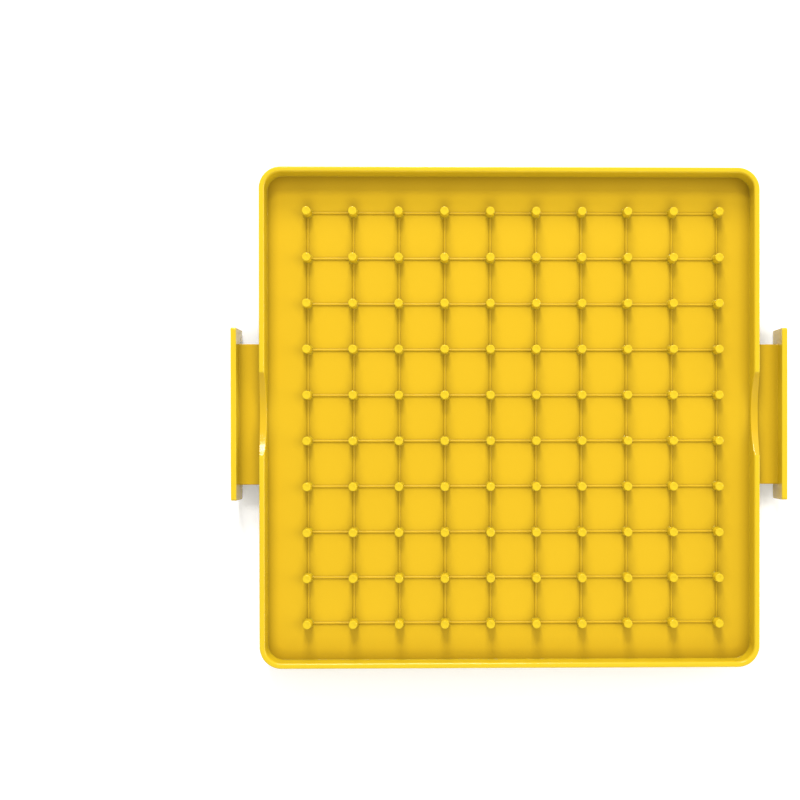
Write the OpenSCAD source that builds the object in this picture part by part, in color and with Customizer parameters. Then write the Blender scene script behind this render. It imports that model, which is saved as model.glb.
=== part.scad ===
// A peg board: a square tray with a raised rim, ten rows of ten pegs joined by
// a low raised grid, and a T-shaped hand grip on its left and right sides.
// It lies flat with the pegs up. +Z is up, X runs from grip to grip, and the
// origin is on the surface it rests on, under the middle of the board.

/* [Board] */
// Width of the square board over the free edges of its rim
board_w = 217.5; // [214:0.5:226]
// Height of the rim, front edge to rear edge
board_h = 20; // [18:1:24]
// Outer radius of the four corners
corner_r = 9.5; // [8:0.5:12]
// Thickness of the rim wall at its free edges
wall_t = 2.4; // [2:0.1:2.8]
// Thickness that the slope of the inner face adds beside the floor
wall_draft = 0.1; // [0:0.1:0.6]
// How far the outer face leans out from a free edge to the middle of the rim's height
outer_lean = 1; // [0:0.1:1.5]
// Radius along the free edges of the rim
edge_r = 0.5; // [0.3:0.1:0.8]
// Thickness of the floor, midway up the rim
floor_t = 2; // [1.6:0.2:3]
// How far the edge of the floor is let into the rim wall
floor_seat = 1.1; // [0.8:0.1:1.3]

/* [Pegs] */
// Number of rows, and of pegs in each row
peg_count = 10; // [6:1:10]
// Distance from one peg to the next
peg_pitch = 20; // [18:0.5:20.5]
// Sideways offset of the pegs from the middle of the board
grid_x = 1.5; // [-2:0.1:2]
// Height of a peg above the floor
peg_h = 7.3; // [6:0.1:8]
// Diameter of a peg at its top
peg_top_d = 3.7; // [3.2:0.1:4]
// Diameter of a peg just above its foot
peg_base_d = 4.1; // [4.1:0.1:4.5]
// Diameter of the foot that stands on the floor
peg_foot_d = 4.6; // [4.6:0.1:5.2]
// Diameter of the spigot that fills the hole in the floor
spigot_d = 3; // [2.4:0.1:3.6]

/* [Grid] */
// Height of the grid lines above the floor
ridge_h = 0.55; // [0.3:0.05:1]
// Width of a grid line where it meets the floor
ridge_w = 1.2; // [1.1:0.1:2.2]
// Width of a grid line along its crest
ridge_top_w = 0.7; // [0.2:0.1:1]

/* [Thumb scoops] */
// Length of a scoop along the rim
scoop_l = 36; // [28:0.5:44]
// Depth of a scoop below the rim's edge
scoop_depth = 6.8; // [3:0.1:7.5]

/* [Grips] */
// Offset of both grips and scoops from the middle of the rim's length
grip_y = 1.7; // [-2:0.1:2]
// Length of a grip plate
grip_l = 75.2; // [68:0.1:90]
// Height of a grip plate
grip_h = 17; // [14:0.5:18]
// Thickness of a grip plate
grip_t = 2.6; // [2.4:0.1:3.4]
// Gap between the rim and a grip plate
grip_gap = 10; // [8:0.1:16]
// Radius of a grip plate's corners
grip_corner_r = 1; // [0.5:0.1:3]
// Length of the flat web that carries a grip plate
web_l = 61.8; // [50:0.1:66]
// How far the web is let into the grip plate
web_seat = 1.2; // [0.8:0.1:1.6]

/* [Hidden] */
$fn = 64;
yellow = [0.98, 0.8, 0.12];
mid_z = board_h / 2;
floor_z = mid_z + floor_t / 2;
corner_at = board_w / 2 - corner_r;
wall_base_t = wall_t + wall_draft;
plate_r = corner_r - wall_base_t + floor_seat;
plate_w = 2 * (corner_at + plate_r);
grid_w = (peg_count - 1) * peg_pitch;
foot_rise = 0.4;
peg_edge = 0.35;
dimple_r = 1.1;
dimple_depth = 0.12;
scoop_r = (scoop_l * scoop_l / 4 + scoop_depth * scoop_depth) / (2 * scoop_depth);
grip_in_x = board_w / 2 + grip_gap;
web_in_x = plate_w / 2;
web_out_x = grip_in_x + web_seat;
overcut = 1;

// Distance of peg i in a row, or of row i, from the middle of the grid.
function peg_at(i) = (i - 1) * peg_pitch - grid_w / 2;

// Section of the rim's upper half: x is measured from a corner's centre.
module wall_section() {
    top_in = corner_r - wall_t;
    base_in = corner_r - wall_base_t;
    polygon([
        [base_in + floor_seat, mid_z],
        [corner_r + outer_lean, mid_z],
        [corner_r, board_h - edge_r],
        [top_in, board_h - edge_r],
        [base_in, floor_z],
        [base_in + floor_seat, floor_z],
    ]);
    translate([top_in + edge_r, board_h - 2 * edge_r]) square([wall_t - 2 * edge_r, 2 * edge_r]);
    for (x = [top_in + edge_r, corner_r - edge_r])
        translate([x, board_h - edge_r]) circle(r = edge_r);
}

// Runs a section round the board: four straight walls and four corners.
module around_board() {
    for (quarter = [0:3])
        rotate([0, 0, 90 * quarter]) {
            translate([corner_at, corner_at, 0]) rotate_extrude(angle = 90) children();
            translate([corner_at, 0, 0])
                rotate([90, 0, 0])
                linear_extrude(height = 2 * corner_at, center = true) children();
        }
}

// Half of the rim, split at the middle of its height, notched for both webs.
module half_frame() {
    difference() {
        around_board() wall_section();
        translate([-board_w, grip_y - web_l / 2, mid_z - overcut])
            cube([2 * board_w, web_l, overcut + floor_t / 2]);
    }
}

// The half above the floor has a thumb scoop in its left and right walls.
module front_frame() {
    color(yellow) difference() {
        half_frame();
        translate([0, grip_y, board_h - scoop_depth + scoop_r])
            rotate([0, 90, 0])
            cylinder(r = scoop_r, h = 2 * board_w, center = true, $fn = 128);
    }
}

module rear_frame() {
    color(yellow) translate([0, 0, board_h]) mirror([0, 0, 1]) half_frame();
}

module rounded_square(w, r) {
    square([w, w - 2 * r], center = true);
    square([w - 2 * r, w], center = true);
    for (x = [-1, 1], y = [-1, 1])
        translate([x * (w / 2 - r), y * (w / 2 - r)]) circle(r = r);
}

// One grid line along X, through a whole row of pegs.
module ridge() {
    rotate([90, 0, 90])
        linear_extrude(height = grid_w, center = true)
        polygon([
            [-ridge_w / 2, floor_z - overcut],
            [ridge_w / 2, floor_z - overcut],
            [ridge_w / 2, floor_z],
            [ridge_top_w / 2, floor_z + ridge_h],
            [-ridge_top_w / 2, floor_z + ridge_h],
            [-ridge_w / 2, floor_z],
        ]);
}

// The floor with its grid: the grid stops at each peg's foot, and a hole
// through the floor takes each peg's spigot.
module peg_plate() {
    color(yellow) difference() {
        union() {
            translate([0, 0, mid_z - floor_t / 2])
                linear_extrude(height = floor_t) rounded_square(plate_w, plate_r);
            for (i = [1:peg_count]) {
                translate([grid_x, peg_at(i), 0]) ridge();
                translate([grid_x + peg_at(i), 0, 0]) rotate([0, 0, 90]) ridge();
            }
        }
        for (i = [1:peg_count], j = [1:peg_count])
            translate([grid_x + peg_at(i), peg_at(j), 0]) {
                translate([0, 0, floor_z]) cylinder(d = peg_foot_d, h = overcut + ridge_h);
                translate([0, 0, mid_z - floor_t]) cylinder(d = spigot_d, h = 2 * floor_t);
            }
    }
}

// A peg: spigot, flared foot, tapered shank and a bevelled, dimpled top.
module peg() {
    top = floor_z + peg_h;
    rotate_extrude()
        polygon([
            [0, mid_z - floor_t / 2],
            [spigot_d / 2, mid_z - floor_t / 2],
            [spigot_d / 2, floor_z],
            [peg_foot_d / 2, floor_z],
            [peg_base_d / 2, floor_z + foot_rise],
            [peg_top_d / 2, top - peg_edge],
            [peg_top_d / 2 - peg_edge, top],
            [dimple_r, top],
            [0, top - dimple_depth],
        ]);
}

// Row 1 is the row furthest along +Y.
module peg_row(row) {
    color(yellow)
        for (i = [1:peg_count])
            translate([grid_x + peg_at(i), -peg_at(row), 0]) peg();
}

// The flat web of a handle: its inner edge meets the floor's edge between the
// two halves of the rim, and its outer edge is let into the grip plate.
module web() {
    color(yellow)
        translate([web_in_x, grip_y - web_l / 2, mid_z - floor_t / 2])
        cube([web_out_x - web_in_x, web_l, floor_t]);
}

// The upright grip plate of a handle, with a groove for the web.
module grip() {
    color(yellow) difference() {
        translate([grip_in_x, grip_y, mid_z])
            rotate([90, 0, 90])
            linear_extrude(height = grip_t)
            union() {
                square([grip_l, grip_h - 2 * grip_corner_r], center = true);
                square([grip_l - 2 * grip_corner_r, grip_h], center = true);
                for (y = [-1, 1], z = [-1, 1])
                    translate([y * (grip_l / 2 - grip_corner_r), z * (grip_h / 2 - grip_corner_r)])
                        circle(r = grip_corner_r);
            }
        translate([grip_in_x - overcut, grip_y - web_l / 2, mid_z - floor_t / 2])
            cube([overcut + web_seat, web_l, floor_t]);
    }
}

front_frame();
rear_frame();
peg_plate();
for (row = [1:peg_count])
    peg_row(row);
mirror([1, 0, 0]) web();  // left_web
web();  // right_web
mirror([1, 0, 0]) grip();  // left_grip
grip();  // right_grip
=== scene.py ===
"""A yellow peg board with a raised rim and a T-shaped grip on each side, lying on a pale floor."""

import math

import bmesh
import bpy
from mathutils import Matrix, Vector


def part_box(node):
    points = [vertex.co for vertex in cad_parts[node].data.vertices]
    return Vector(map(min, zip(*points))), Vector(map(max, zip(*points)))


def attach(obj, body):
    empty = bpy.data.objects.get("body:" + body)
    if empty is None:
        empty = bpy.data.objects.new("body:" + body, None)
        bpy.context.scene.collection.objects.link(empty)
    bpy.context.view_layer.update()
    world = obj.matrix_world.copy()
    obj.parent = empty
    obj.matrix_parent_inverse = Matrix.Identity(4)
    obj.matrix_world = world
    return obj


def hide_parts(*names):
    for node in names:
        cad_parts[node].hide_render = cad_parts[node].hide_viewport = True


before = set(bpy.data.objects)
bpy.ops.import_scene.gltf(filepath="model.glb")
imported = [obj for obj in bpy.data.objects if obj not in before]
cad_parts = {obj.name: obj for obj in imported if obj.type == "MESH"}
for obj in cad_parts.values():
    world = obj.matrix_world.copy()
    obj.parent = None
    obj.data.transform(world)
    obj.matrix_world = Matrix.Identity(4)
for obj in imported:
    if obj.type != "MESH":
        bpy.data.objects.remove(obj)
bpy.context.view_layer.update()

MM = 0.001

# Places taken from the frame, in metres.
rim_low, rim_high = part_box("front_frame")
web_low, web_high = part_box("right_web")
grip_low, grip_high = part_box("right_grip")
_, plate_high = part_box("peg_plate")
first_row_low, first_row_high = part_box("peg_row_1")
last_row_low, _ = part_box("peg_row_10")
PEGS = 10
SPREAD = rim_high.x
TOP = rim_high.z
MID = rim_low.z
FLOOR = web_high.z
BACK = web_low.z
FLOOR_REACH = plate_high.x
RIDGE_H = plate_high.z - FLOOR
PEG_TOP = first_row_high.z
FOOT_R = (first_row_high.y - first_row_low.y) / 2
FIRST_X = first_row_low.x + FOOT_R
LAST_X = first_row_high.x - FOOT_R
FIRST_Y = first_row_high.y - FOOT_R
LAST_Y = last_row_low.y + FOOT_R
PITCH = (LAST_X - FIRST_X) / (PEGS - 1)
GRIP_Y = (grip_low.y + grip_high.y) / 2
PEG_XS = [FIRST_X + i * PITCH for i in range(PEGS)]
PEG_YS = [FIRST_Y - i * PITCH for i in range(PEGS)]

# Meshes: how near corners are when they are welded, the slack in comparisons, how far a cutter
# sticks out, the number of steps in an arc, and how smooth shading treats edges and large faces.
WELD = 1e-7
SLACK = 1e-7
DECIMALS = 8
OVERCUT = 1 * MM
EDGE_STEPS = 6
FILLET_STEPS = 7
SHARP_ANGLE = math.radians(42)
NORMAL_WEIGHT = 60

# Rim wall: the same figures as the CAD section, with the mould's softer corners.
OUTER_LEAN = 1.0 * MM
HALF = SPREAD - OUTER_LEAN
CORNER_R = 9.5 * MM
CORNER_AT = HALF - CORNER_R
WALL_TOP_T = 2.4 * MM
WALL_BASE_T = 2.5 * MM
FLOOR_SEAT = 1.1 * MM
RIM_OUTER_R = 0.55 * MM
RIM_INNER_R = 1.0 * MM
WALL_FOOT_R = 0.06 * MM
WALL_FOOT_SUNK = 0.1 * MM
PARTING = 0.12 * MM
LOOP_ABOVE_PARTING = 1 * MM
LOOP_BELOW_EDGE = 0.4 * MM
WALL_STEP = 12 * MM
CORNER_STEP = 5

# Thumb scoops. The rim's rounded edges get tighter by a share of SCOOP_CRISP over the first
# SCOOP_EDGE_DROP of a scoop's depth. A scoop's circle is followed to SCOOP_FOLLOWED of its radius.
# SCOOP_LEAST_UP is the least upward tilt of a face that belongs to a scoop's cut surface.
SCOOP_HALF = 18 * MM
SCOOP_DEPTH = 6.8 * MM
SCOOP_SOFTEN = 0.3 * MM
SCOOP_EDGE_DROP = 1.5 * MM
SCOOP_CRISP = 0.6
SCOOP_FOLLOWED = 0.95
SCOOP_MARGIN = 2 * MM
SCOOP_STEP = 0.5 * MM
SCOOP_LEAST_UP = 0.6

# Grid lines on the floor, and the mesh lines that divide the flat cells between them.
RIDGE_FLAT = 0.06 * MM
RIDGE_CREST_R = 0.45 * MM
RIDGE_FOOT_R = 0.05 * MM
RIDGE_DRAFT = math.radians(12)
RIDGE_CREST_STEPS = 5
RIDGE_FOOT_STEPS = 3
CELL_LINES = (1.3 * MM, 3.2 * MM, 6.5 * MM, 10 * MM)
CORNER_LINES = (0, 0.5, 0.75, 1)

# Marks of the ejector pins on the back, counted in pitches from the middle of the grid.
PIN_R = 2.5 * MM
PIN_DEPTH = 0.12 * MM
PIN_PLACES = (-5, -2, 2, 5)

# Pegs: the shank's middle points are (share of its taper, height above the floor).
PEG_TOP_R = 1.85 * MM
PEG_BASE_R = 2.05 * MM
PEG_EDGE_R = 0.3 * MM
PEG_FILLET_R = 0.25 * MM
PEG_SUNK = 0.05 * MM
SHANK_POINTS = ((0.33, 2.6 * MM), (0.67, 4.8 * MM))
DIMPLE_R = 1.15 * MM
DIMPLE_DEPTH = 0.12 * MM
DIMPLE_STEPS = 5
SPIGOT_R = 1.5 * MM
SPIGOT_EDGE = 0.15 * MM
SPIGOT_STEPS = 4
PEG_SIDES = 40

# Grips and webs.
GRIP_DRAFT = 0.1 * MM
GRIP_EDGE_R = 0.3 * MM
GRIP_EDGE_STEPS = 4
GRIP_CORNER_R = 1.0 * MM
GRIP_CORNER_STEPS = 6
GRIP_LEAST_EDGE = 1 * MM
GRIP_LEAST_TURN = 1.2
WEB_FILLET_R = 0.3 * MM
WEB_FLARE = 0.6
WEB_EDGE_R = 0.45 * MM
WEB_EDGE_STEPS = 5
WEB_BURY = 0.9 * MM
WEB_STEP = 2 * MM

# Plastic: how far tint and gloss drift, how many drifts there are in a metre, and the part of a
# noise's range that the gloss follows.
PLASTIC_IOR = 1.5
TINT_DRIFT = 0.025
TINT_SCALE = 22
GLOSS_LESS = 0.03
GLOSS_MORE = 0.04
GLOSS_SCALE = 60
GLOSS_RANGE = (0.3, 0.7)
GRAIN_STRENGTH = 0.5
# Samples for the painted shade in corners and creases.
SHADE_SAMPLES = 8

# Stage: a floor that lies just below the board.
STAGE_HALF = 12.0
STAGE_DROP = 0.02 * MM
STAGE_PALE = 0.95
STAGE_GLOW = 0.15

# Light. Each softbox has an azimuth, running clockwise from beyond the first row of pegs, and an
# elevation, both in degrees, a width and a height in metres, a power in watts, and whether the
# plastic's gloss shows it.
SURROUNDINGS = 0.42
SOFTBOX_AWAY = 1.6
SOFTBOXES = {
    "key_softbox": (-6, 46, 0.45, 0.3, 10, False),
    "low_key_softbox": (-5, 26, 0.5, 0.45, 17, True),
    "wide_rear_softbox": (0, 30, 3.0, 1.5, 5, True),
    "right_softbox": (88, 14, 1.0, 0.6, 8.5, True),
    "high_right_softbox": (88, 50, 1.0, 0.7, 4, False),
    "left_softbox": (-88, 20, 1.0, 0.7, 2.5, False),
    "near_softbox": (180, 50, 1.2, 0.8, 8, False),
    "low_near_softbox": (180, 30, 1.6, 0.6, 5.5, False),
}

# Camera: above the board and a little left of its middle, with the board off the picture's centre.
CAMERA_X = -23.4 * MM
CAMERA_Y = -10.9 * MM
CAMERA_ABOVE_RIM = 571 * MM
CAMERA_TURN = (-0.0061, -0.0189, -0.0011)
FOCAL_LENGTH = 59.24
SHIFT_X = -0.1016
SHIFT_Y = 0.0637


# ---------------------------------------------------------------- shapes


def arc(centre, radius, start, end, steps):
    """Points on an arc from the start angle to the end angle, in degrees, both ends included."""
    angles = [math.radians(start + (end - start) * i / steps) for i in range(steps + 1)]
    return [(centre[0] + radius * math.cos(a), centre[1] + radius * math.sin(a)) for a in angles]


def spread(low, high, step):
    """Evenly spaced values from low to high, no more than step apart."""
    count = max(1, math.ceil((high - low) / step - SLACK))
    return [low + (high - low) * i / count for i in range(count + 1)]


def bowl_radius(half_width, depth):
    """Radius of the circle that is this deep over this half width."""
    return (half_width**2 + depth**2) / (2 * depth)


def mesh_object(name, vertices, faces):
    """A new object from a list of corners and faces, with its faces turned outwards."""
    mesh = bpy.data.meshes.new(name)
    mesh.from_pydata(vertices, [], faces)
    form = bmesh.new()
    form.from_mesh(mesh)
    bmesh.ops.remove_doubles(form, verts=form.verts, dist=WELD)
    bmesh.ops.recalc_face_normals(form, faces=form.faces)
    return form_object(form, mesh)


def form_object(form, mesh):
    """A new object, named like its mesh, from a form that is still being edited."""
    form.to_mesh(mesh)
    form.free()
    obj = bpy.data.objects.new(mesh.name, mesh)
    bpy.context.scene.collection.objects.link(obj)
    return obj


def loft(rings, closed=False):
    """Corners and faces that join rings of equal length, in a closed loop or with capped ends."""
    size = len(rings[0])
    count = len(rings)
    vertices = [v for ring in rings for v in ring]
    faces = []
    for i in range(count if closed else count - 1):
        a, b = i * size, (i + 1) % count * size
        faces += [(a + j, a + (j + 1) % size, b + (j + 1) % size, b + j) for j in range(size)]
    if not closed:
        faces += [tuple(range(size)), tuple((count - 1) * size + j for j in range(size))]
    return vertices, faces


def turned(profile, places):
    """Corners and faces of one turned form repeated at several places, from a profile (radius, z)."""
    vertices, faces = [], []
    for x, y in places:
        rows = []
        for radius, z in profile:
            if radius == 0:
                rows.append([len(vertices)])
                vertices.append((x, y, z))
                continue
            rows.append(range(len(vertices), len(vertices) + PEG_SIDES))
            for i in range(PEG_SIDES):
                a = 2 * math.pi * i / PEG_SIDES
                vertices.append((x + radius * math.cos(a), y + radius * math.sin(a), z))
        for lower, upper in zip(rows, rows[1:]):
            for i in range(PEG_SIDES):
                j = (i + 1) % PEG_SIDES
                corners = [lower[i % len(lower)], lower[j % len(lower)]]
                corners += [upper[j % len(upper)], upper[i % len(upper)]]
                faces.append(tuple(dict.fromkeys(corners)))
    return vertices, faces


def drill(obj, cutter):
    """Cuts one mesh out of another and removes the cutter."""
    cut = obj.modifiers.new("drill", "BOOLEAN")
    cut.operation = "DIFFERENCE"
    cut.solver = "EXACT"
    cut.object = cutter
    graph = bpy.context.evaluated_depsgraph_get()
    cut_mesh = bpy.data.meshes.new_from_object(obj.evaluated_get(graph))
    obj.modifiers.clear()
    obj.data = cut_mesh
    bpy.data.objects.remove(cutter)


def finish_piece(obj, node, material):
    """Smooth shading that leaves flat faces flat, a material, and the CAD node that it stands for."""
    mesh = obj.data
    mesh.materials.clear()
    mesh.materials.append(material)
    mesh.polygons.foreach_set("use_smooth", [True] * len(mesh.polygons))
    mesh.set_sharp_from_angle(angle=SHARP_ANGLE)
    weighted = obj.modifiers.new("weighted", "WEIGHTED_NORMAL")
    weighted.keep_sharp = True
    weighted.weight = NORMAL_WEIGHT
    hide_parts(node)
    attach(obj, "root")


# ---------------------------------------------------------------- rim


def scoop_drop(y):
    """How far the rim's edge is lowered at y by the thumb scoop, a circle that runs out softly."""
    radius = bowl_radius(SCOOP_HALF, SCOOP_DEPTH)
    along = min(abs(y - GRIP_Y), SCOOP_FOLLOWED * radius)
    cut = math.sqrt(radius**2 - along**2) - (radius - SCOOP_DEPTH)
    return (cut + math.hypot(cut, SCOOP_SOFTEN)) / 2 - SCOOP_SOFTEN**2 / (4 * SCOOP_DEPTH)


def outer_face(z):
    """Where the outer face stands at height z, as a distance in from the free edge."""
    return -OUTER_LEAN * (TOP - z) / (TOP - MID)


def wall_section(drop):
    """Closed section of the rim above the parting line: (distance in from the free edge, height)."""
    top = TOP - drop
    slope = (WALL_BASE_T - WALL_TOP_T) / (TOP - FLOOR)
    top_t = WALL_TOP_T + slope * drop
    foot_t = WALL_BASE_T - slope * WALL_FOOT_R
    foot_x = foot_t + WALL_FOOT_R
    foot_low = FLOOR - WALL_FOOT_SUNK
    crisp = 1 - SCOOP_CRISP * min(1, drop / SCOOP_EDGE_DROP)
    outer_r, inner_r = RIM_OUTER_R * crisp, RIM_INNER_R * crisp
    lean = math.atan(OUTER_LEAN / (TOP - MID))
    outer_at = outer_face(top - outer_r) + outer_r / math.cos(lean)
    loops = (MID + PARTING, MID + LOOP_ABOVE_PARTING, top - outer_r - LOOP_BELOW_EDGE)

    section = [(PARTING - OUTER_LEAN, MID)]
    section += [(outer_face(z), z) for z in loops]
    section += arc((outer_at, top - outer_r), outer_r, 180 - math.degrees(lean), 90, EDGE_STEPS)
    section += arc((top_t - inner_r, top - inner_r), inner_r, 90, 0, EDGE_STEPS)
    section += arc((foot_x, FLOOR + WALL_FOOT_R), WALL_FOOT_R, 180, 270, FILLET_STEPS)
    seat = WALL_BASE_T - FLOOR_SEAT
    section += [(foot_x, foot_low), (seat, foot_low), (seat, MID)]
    return section


def wall_places(along, scooped):
    """Distances along a straight wall from its middle, dense where a scoop lowers its edge."""
    places = spread(-CORNER_AT, CORNER_AT, WALL_STEP)
    if scooped:
        middle = GRIP_Y * along.y
        reach = SCOOP_HALF + SCOOP_MARGIN
        places = [s for s in places if abs(s - middle) > reach + SCOOP_MARGIN]
        places += spread(middle - reach, middle + reach, SCOOP_STEP)
        places.sort()
    return places


def rim_stations(scooped):
    """Stations round the rim's outer face: (point, outward normal, drop of the rim's edge)."""
    stations = []
    for side in range(4):
        turn = math.radians(90 * side)
        out = Vector((math.cos(turn), math.sin(turn)))
        along = Vector((-out.y, out.x))
        has_scoop = scooped and side % 2 == 0
        for s in wall_places(along, has_scoop):
            point = out * HALF + along * s
            stations.append((point, out, scoop_drop(point.y) if has_scoop else 0.0))
        centre = (out + along) * CORNER_AT
        for degrees in spread(0, 90, CORNER_STEP)[1:-1]:
            a = turn + math.radians(degrees)
            normal = Vector((math.cos(a), math.sin(a)))
            stations.append((centre + normal * CORNER_R, normal, 0.0))
    return stations


def rim_half(name, flipped):
    """One half of the rim wall. The flipped half stands below the parting line and has no scoops."""
    rings = []
    for point, normal, drop in rim_stations(scooped=not flipped):
        ring = []
        for inward, z in wall_section(drop):
            place = point - normal * inward
            ring.append((place.x, place.y, 2 * MID - z if flipped else z))
        rings.append(ring)
    return mesh_object(name, *loft(rings, closed=True))


def finish_scoops(frame_half, material):
    """Gives the cut surface of both thumb scoops its own glossier plastic, darker in colour as
    painted shade.
    """
    frame_half.data.materials.append(material)
    low, high = FLOOR + SCOOP_SOFTEN, TOP - SCOOP_SOFTEN
    for face in frame_half.data.polygons:
        if face.normal.z > SCOOP_LEAST_UP and low < face.center.z < high:
            face.material_index = 1


# ---------------------------------------------------------------- floor


def ridge_section():
    """Half of a grid line's section, from its middle out: (distance, height above the floor)."""
    crest, root, tilt = RIDGE_CREST_R, RIDGE_FOOT_R, RIDGE_DRAFT
    run = (RIDGE_H - crest - root + (crest + root) * math.sin(tilt)) / math.cos(tilt)
    foot = RIDGE_FLAT + (crest + root) * math.cos(tilt) + run * math.sin(tilt)
    degrees = math.degrees(tilt)
    upper = arc((RIDGE_FLAT, RIDGE_H - crest), crest, 90, degrees, RIDGE_CREST_STEPS)
    lower = arc((foot, root), root, 180 + degrees, 270, RIDGE_FOOT_STEPS)
    return [(0, RIDGE_H), *upper, *lower]


def grid_lines(pegs):
    """Sorted lines for one axis of the floor's mesh, each with a ridge's height along that line."""
    laid = [(peg, distance, 0.0) for peg in pegs for distance in CELL_LINES]
    laid += [(0, CORNER_AT + share * (FLOOR_REACH - CORNER_AT), 0.0) for share in CORNER_LINES]
    laid += [(peg, distance, height) for peg in pegs for distance, height in ridge_section()]
    lines = {}
    for middle, distance, height in laid:
        for side in (-1, 1):
            lines[round(middle + side * distance, DECIMALS)] = height
    limit = FLOOR_REACH + SLACK
    return sorted((place, height) for place, height in lines.items() if abs(place) <= limit)


def round_corner(x, y):
    """Moves a point of the floor's square corner so that the corner becomes a quarter circle."""
    radius = FLOOR_REACH - CORNER_AT
    u = (abs(x) - CORNER_AT) / radius
    v = (abs(y) - CORNER_AT) / radius
    if u <= 0 or v <= 0:
        return x, y
    u, v = u * math.sqrt(1 - v * v / 2), v * math.sqrt(1 - u * u / 2)
    return math.copysign(CORNER_AT + u * radius, x), math.copysign(CORNER_AT + v * radius, y)


def floor_slab():
    """The floor with its grid lines, before anything is cut from it."""
    xs, ys = grid_lines(PEG_XS), grid_lines(PEG_YS)
    vertices = []
    for x, across in xs:
        for y, along in ys:
            on_column = LAST_Y - SLACK <= y <= FIRST_Y + SLACK
            on_row = FIRST_X - SLACK <= x <= LAST_X + SLACK
            height = max(across if on_column else 0, along if on_row else 0)
            vertices.append((*round_corner(x, y), FLOOR + height))
    vertices += [(x, y, BACK) for x, y, _ in vertices]

    wide, deep = len(xs), len(ys)
    under = wide * deep
    faces = []
    for i in range(wide - 1):
        for j in range(deep - 1):
            a = i * deep + j
            faces.append((a, a + deep, a + deep + 1, a + 1))
            faces.append((under + a, under + a + 1, under + a + deep + 1, under + a + deep))
    outline = [i * deep for i in range(wide)]
    outline += [(wide - 1) * deep + j for j in range(1, deep)]
    outline += [i * deep + deep - 1 for i in range(wide - 2, -1, -1)]
    outline += [j for j in range(deep - 2, 0, -1)]
    for a, b in zip(outline, outline[1:] + outline[:1]):
        faces.append((a, b, under + b, under + a))
    return mesh_object("peg_plate_moulded", vertices, faces)


def peg_holes():
    """Cutter for the holes that the spigots fill, each widened at the floor's back."""
    mouth = 2 * SPIGOT_EDGE
    low, high = BACK - OVERCUT, FLOOR + OVERCUT
    hole = [(0, low), (SPIGOT_R + mouth, low), (SPIGOT_R + mouth, BACK)]
    hole += [(SPIGOT_R, BACK + mouth), (SPIGOT_R, high), (0, high)]
    places = [(x, y) for x in PEG_XS for y in PEG_YS]
    return mesh_object("holes", *turned(hole, places))


def pin_marks():
    """Cutter for the round marks that the mould's pins leave on the back, outside the pegs."""
    low, high = BACK - OVERCUT, BACK + PIN_DEPTH
    pin = [(0, low), (PIN_R, low), (PIN_R, high), (0, high)]
    middle_x, middle_y = (FIRST_X + LAST_X) / 2, (FIRST_Y + LAST_Y) / 2
    places = [
        (middle_x + a * PITCH, middle_y + b * PITCH)
        for a in PIN_PLACES
        for b in PIN_PLACES
        if max(abs(a), abs(b)) == max(PIN_PLACES)
    ]
    return mesh_object("pins", *turned(pin, places))


def peg_plate():
    """The floor with its grid lines, its holes, and the marks that the mould leaves on its back."""
    plate = floor_slab()
    drill(plate, peg_holes())
    drill(plate, pin_marks())
    return plate


# ---------------------------------------------------------------- pegs


def peg_profile():
    """Half section of a peg from the end of its spigot up to the middle of its dimpled top."""
    foot_r = PEG_BASE_R + PEG_FILLET_R
    foot_low = FLOOR - PEG_SUNK
    edge = (PEG_TOP_R - PEG_EDGE_R, PEG_TOP - PEG_EDGE_R)
    bowl_r = bowl_radius(DIMPLE_R, DIMPLE_DEPTH)
    bowl = (0, PEG_TOP + bowl_r - DIMPLE_DEPTH)
    swing = math.degrees(math.asin(DIMPLE_R / bowl_r))

    profile = [(0, BACK)]
    profile += arc((SPIGOT_R - SPIGOT_EDGE, BACK + SPIGOT_EDGE), SPIGOT_EDGE, -90, 0, SPIGOT_STEPS)
    profile += [(SPIGOT_R, foot_low), (foot_r, foot_low)]
    profile += arc((foot_r, FLOOR + PEG_FILLET_R), PEG_FILLET_R, 270, 180, EDGE_STEPS)
    for share, height in SHANK_POINTS:
        profile.append(((1 - share) * PEG_BASE_R + share * PEG_TOP_R, FLOOR + height))
    profile += arc(edge, PEG_EDGE_R, 0, 90, EDGE_STEPS)
    profile += arc(bowl, bowl_r, swing - 90, -90, DIMPLE_STEPS)[:-1]
    profile += [(0, PEG_TOP - DIMPLE_DEPTH)]
    return profile


def peg_row(number):
    """A row of pegs as one piece."""
    places = [(x, PEG_YS[number - 1]) for x in PEG_XS]
    return mesh_object(f"peg_row_{number}_turned", *turned(peg_profile(), places))


# ---------------------------------------------------------------- handles


def rounded_loop(x, centre, half_y, half_z, radius):
    """A rounded rectangle in the plane at x, as a ring of corners."""
    ring = []
    for k, (sy, sz) in enumerate(((1, 1), (-1, 1), (-1, -1), (1, -1))):
        corner = (sy * (half_y - radius), sz * (half_z - radius))
        for y, z in arc(corner, radius, 90 * k, 90 * k + 90, WEB_EDGE_STEPS):
            ring.append((x, centre[0] + y, centre[1] + z))
    return ring


def web(name, side):
    """A flat web, flared where it meets the rim and where it meets the grip."""
    inner, outer = SPREAD, grip_low.x
    half_y = (web_high.y - web_low.y) / 2
    half_z = (FLOOR - BACK) / 2
    centre = ((web_low.y + web_high.y) / 2, (FLOOR + BACK) / 2)
    flare = arc((WEB_FILLET_R, WEB_FILLET_R), WEB_FILLET_R, 180, 270, FILLET_STEPS)
    stations = [(inner - WEB_BURY, WEB_FILLET_R)]
    stations += [(inner + along, out) for along, out in flare]
    stations += [(x, 0) for x in spread(inner + WEB_FILLET_R, outer - WEB_FILLET_R, WEB_STEP)[1:-1]]
    stations += [(outer - along, out) for along, out in reversed(flare)]
    stations += [(outer + WEB_BURY, WEB_FILLET_R)]
    rings = [
        rounded_loop(side * x, centre, half_y + out, half_z + out, WEB_EDGE_R + WEB_FLARE * out)
        for x, out in stations
    ]
    return mesh_object(name, *loft(rings))


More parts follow.
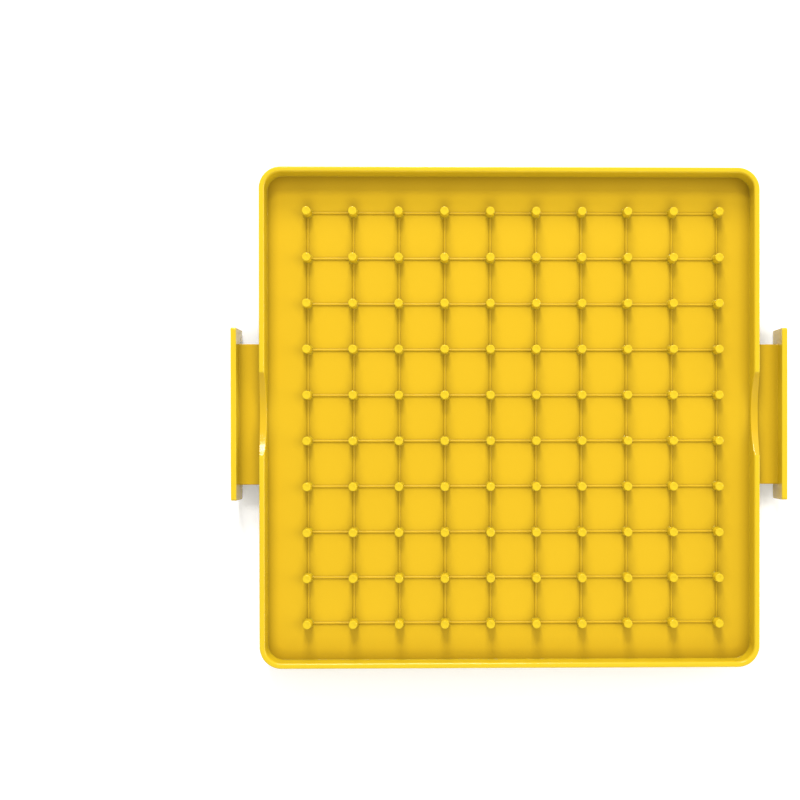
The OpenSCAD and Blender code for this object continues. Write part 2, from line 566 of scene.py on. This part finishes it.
def grip_block():
    """The right grip as a form with sharp edges, thickest at the parting line midway up."""
    middle = (grip_low.z + grip_high.z) / 2
    form = bmesh.new()
    rows = []
    for z in (grip_low.z, middle, grip_high.z):
        pull = 0.0 if z == middle else GRIP_DRAFT
        row = []
        for x, inward in ((grip_low.x, 1), (grip_high.x, -1)):
            for y in (grip_low.y, grip_high.y):
                row.append(form.verts.new((x + inward * pull, y, z)))
        rows.append(row)
    for low, high in zip(rows, rows[1:]):
        for a, b in ((0, 1), (1, 3), (3, 2), (2, 0)):
            form.faces.new((low[a], low[b], high[b], high[a]))
    for row in (rows[0], rows[-1]):
        form.faces.new((row[0], row[1], row[3], row[2]))
    bmesh.ops.recalc_face_normals(form, faces=form.faces)
    form.edges.ensure_lookup_table()
    return form


def bevel(form, edges, radius, steps):
    """Rounds some edges of a form."""
    bmesh.ops.bevel(form, geom=edges, offset=radius, segments=steps, profile=0.5, affect="EDGES")


def grip(name, side):
    """An upright plate with its four corners rounded, and then all of its edges."""
    form = grip_block()
    middle = (grip_low.z + grip_high.z) / 2

    def is_corner(edge):
        a, b = (v.co for v in edge.verts)
        runs_across = abs(a.x - b.x) > GRIP_LEAST_EDGE
        return runs_across and min(abs(a.z - middle), abs(b.z - middle)) > GRIP_LEAST_EDGE

    def is_outline(edge):
        return len(edge.link_faces) == 2 and edge.calc_face_angle(0) > GRIP_LEAST_TURN

    bevel(form, [e for e in form.edges if is_corner(e)], GRIP_CORNER_R, GRIP_CORNER_STEPS)
    bevel(form, [e for e in form.edges if is_outline(e)], GRIP_EDGE_R, GRIP_EDGE_STEPS)
    if side < 0:
        for v in form.verts:
            v.co.x = -v.co.x
        bmesh.ops.reverse_faces(form, faces=form.faces)
    return form_object(form, bpy.data.meshes.new(name))


# ---------------------------------------------------------------- materials


def plastic(name, colour, roughness, specular, grain_size, grain_depth, painted_shade_reach, shade):
    """Moulded plastic: slow drifts of tint and gloss, a fine grain, and painted shade in corners and
    creases.
    """
    material = bpy.data.materials.new(name)
    material.use_nodes = True
    tree = material.node_tree
    shader = tree.nodes["Principled BSDF"]
    shader.inputs["IOR"].default_value = PLASTIC_IOR
    shader.inputs["Specular IOR Level"].default_value = specular
    place = tree.nodes.new("ShaderNodeTexCoord").outputs["Object"]

    def noise(scale, detail):
        node = tree.nodes.new("ShaderNodeTexNoise")
        node.inputs["Scale"].default_value = scale
        node.inputs["Detail"].default_value = detail
        tree.links.new(place, node.inputs["Vector"])
        return node.outputs["Fac"]

    tint = tree.nodes.new("ShaderNodeMix")
    tint.data_type = "RGBA"
    tint.inputs["A"].default_value = (*[c * (1 - TINT_DRIFT) for c in colour], 1)
    tint.inputs["B"].default_value = (*[c * (1 + TINT_DRIFT) for c in colour], 1)
    tree.links.new(noise(TINT_SCALE, detail=2), tint.inputs["Factor"])

    # Painted shade: the colour is darkened near corners and creases by an ambient-occlusion mix, over
    # the given reach and by the given share.
    corner = tree.nodes.new("ShaderNodeAmbientOcclusion")
    corner.samples = SHADE_SAMPLES
    corner.inputs["Distance"].default_value = painted_shade_reach
    tree.links.new(tint.outputs["Result"], corner.inputs["Color"])
    shaded = tree.nodes.new("ShaderNodeMix")
    shaded.data_type = "RGBA"
    shaded.inputs["Factor"].default_value = shade
    tree.links.new(tint.outputs["Result"], shaded.inputs["A"])
    tree.links.new(corner.outputs["Color"], shaded.inputs["B"])
    tree.links.new(shaded.outputs["Result"], shader.inputs["Base Color"])

    gloss = tree.nodes.new("ShaderNodeMapRange")
    gloss.inputs["From Min"].default_value = GLOSS_RANGE[0]
    gloss.inputs["From Max"].default_value = GLOSS_RANGE[1]
    gloss.inputs["To Min"].default_value = roughness - GLOSS_LESS
    gloss.inputs["To Max"].default_value = roughness + GLOSS_MORE
    tree.links.new(noise(GLOSS_SCALE, detail=3), gloss.inputs["Value"])
    tree.links.new(gloss.outputs["Result"], shader.inputs["Roughness"])

    bump = tree.nodes.new("ShaderNodeBump")
    bump.inputs["Strength"].default_value = GRAIN_STRENGTH
    bump.inputs["Distance"].default_value = grain_depth
    tree.links.new(noise(1 / grain_size, detail=2), bump.inputs["Height"])
    tree.links.new(bump.outputs["Normal"], shader.inputs["Normal"])
    return material


def yellow_smooth():
    """The rim and the grips."""
    return plastic(
        "yellow_smooth", colour=(0.665, 0.465, 0.012), roughness=0.20, specular=0.42,
        grain_size=4 * MM, grain_depth=0.008 * MM, painted_shade_reach=1.2 * MM, shade=0.4,
    )


def yellow_fine_grain():
    """The floor and the webs: more matte, with a finer grain, and a colour darker than the rim's,
    which is painted shade.
    """
    return plastic(
        "yellow_fine_grain", colour=(0.632, 0.392, 0.009), roughness=0.40, specular=0.28,
        grain_size=0.8 * MM, grain_depth=0.006 * MM, painted_shade_reach=5.5 * MM, shade=0.66,
    )


def yellow_peg():
    """The pegs: as smooth as the rim, with strong painted shade round their feet."""
    return plastic(
        "yellow_peg", colour=(0.665, 0.465, 0.012), roughness=0.20, specular=0.42,
        grain_size=4 * MM, grain_depth=0.008 * MM, painted_shade_reach=4 * MM, shade=0.85,
    )


def yellow_scoop():
    """The cut surface of the thumb scoops: the glossiest, with a colour darker than the rim's, which
    is painted shade.
    """
    return plastic(
        "yellow_scoop", colour=(0.62, 0.385, 0.008), roughness=0.16, specular=0.5,
        grain_size=4 * MM, grain_depth=0.004 * MM, painted_shade_reach=1.2 * MM, shade=0.5,
    )


def build_board():
    """Every piece of the board, each standing for its CAD node."""
    smooth, fine, peg, cut = yellow_smooth(), yellow_fine_grain(), yellow_peg(), yellow_scoop()
    front = rim_half("front_frame_moulded", flipped=False)
    finish_piece(front, "front_frame", smooth)
    finish_scoops(front, cut)
    finish_piece(rim_half("rear_frame_moulded", flipped=True), "rear_frame", smooth)
    finish_piece(peg_plate(), "peg_plate", fine)
    for number in range(1, PEGS + 1):
        finish_piece(peg_row(number), f"peg_row_{number}", peg)
    for label, side in (("left", -1), ("right", 1)):
        finish_piece(web(f"{label}_web_moulded", side), f"{label}_web", fine)
        finish_piece(grip(f"{label}_grip_moulded", side), f"{label}_grip", smooth)


# ---------------------------------------------------------------- stage, light and camera


def floor_stage():
    """A pale floor far wider than the board, which glows a little so that shadows stay pale."""
    turns = ((-1, -1), (1, -1), (1, 1), (-1, 1))
    corners = [(x * STAGE_HALF, y * STAGE_HALF, 0) for x, y in turns]
    floor = mesh_object("floor_stage", corners, [(0, 1, 2, 3)])
    floor.location.z = -STAGE_DROP
    material = bpy.data.materials.new("pale_floor")
    material.use_nodes = True
    shader = material.node_tree.nodes["Principled BSDF"]
    shader.inputs["Base Color"].default_value = (STAGE_PALE, STAGE_PALE, STAGE_PALE, 1)
    shader.inputs["Roughness"].default_value = 0.9
    shader.inputs["Specular IOR Level"].default_value = 0.1
    shader.inputs["Emission Color"].default_value = (1, 1, 1, 1)
    shader.inputs["Emission Strength"].default_value = STAGE_GLOW
    floor.data.materials.append(material)


def softbox(name, azimuth, elevation, width, height, power, in_gloss):
    """A softbox that faces the board and is hidden from the camera."""
    turn, tilt = math.radians(azimuth), math.radians(elevation)
    level = math.cos(tilt)
    direction = Vector((math.sin(turn) * level, math.cos(turn) * level, math.sin(tilt)))
    light = bpy.data.lights.new(name, "AREA")
    light.shape = "RECTANGLE"
    light.size = width
    light.size_y = height
    light.energy = power
    lamp = bpy.data.objects.new(name, light)
    lamp.location = direction * SOFTBOX_AWAY
    lamp.rotation_euler = direction.to_track_quat("Z", "Y").to_euler()
    lamp.visible_camera = False
    lamp.visible_glossy = in_gloss
    bpy.context.scene.collection.objects.link(lamp)


def studio_light():
    """White surroundings and softboxes, with the two strongest beyond the first row of pegs."""
    scene = bpy.context.scene
    scene.view_settings.view_transform = "Standard"
    scene.cycles.diffuse_bounces = 1
    world = bpy.data.worlds.new("studio")
    world.use_nodes = True
    background = world.node_tree.nodes["Background"]
    background.inputs["Color"].default_value = (1, 1, 1, 1)
    background.inputs["Strength"].default_value = SURROUNDINGS
    scene.world = world
    for name, settings in SOFTBOXES.items():
        softbox(name, *settings)


def place_camera():
    """The camera looks almost straight down."""
    lens = bpy.data.cameras.new("camera")
    lens.lens = FOCAL_LENGTH
    lens.shift_x = SHIFT_X
    lens.shift_y = SHIFT_Y
    camera = bpy.data.objects.new("camera", lens)
    camera.location = (CAMERA_X, CAMERA_Y, TOP + CAMERA_ABOVE_RIM)
    camera.rotation_mode = "XYZ"
    camera.rotation_euler = CAMERA_TURN
    bpy.context.scene.collection.objects.link(camera)
    bpy.context.scene.camera = camera


build_board()
floor_stage()
studio_light()
place_camera()
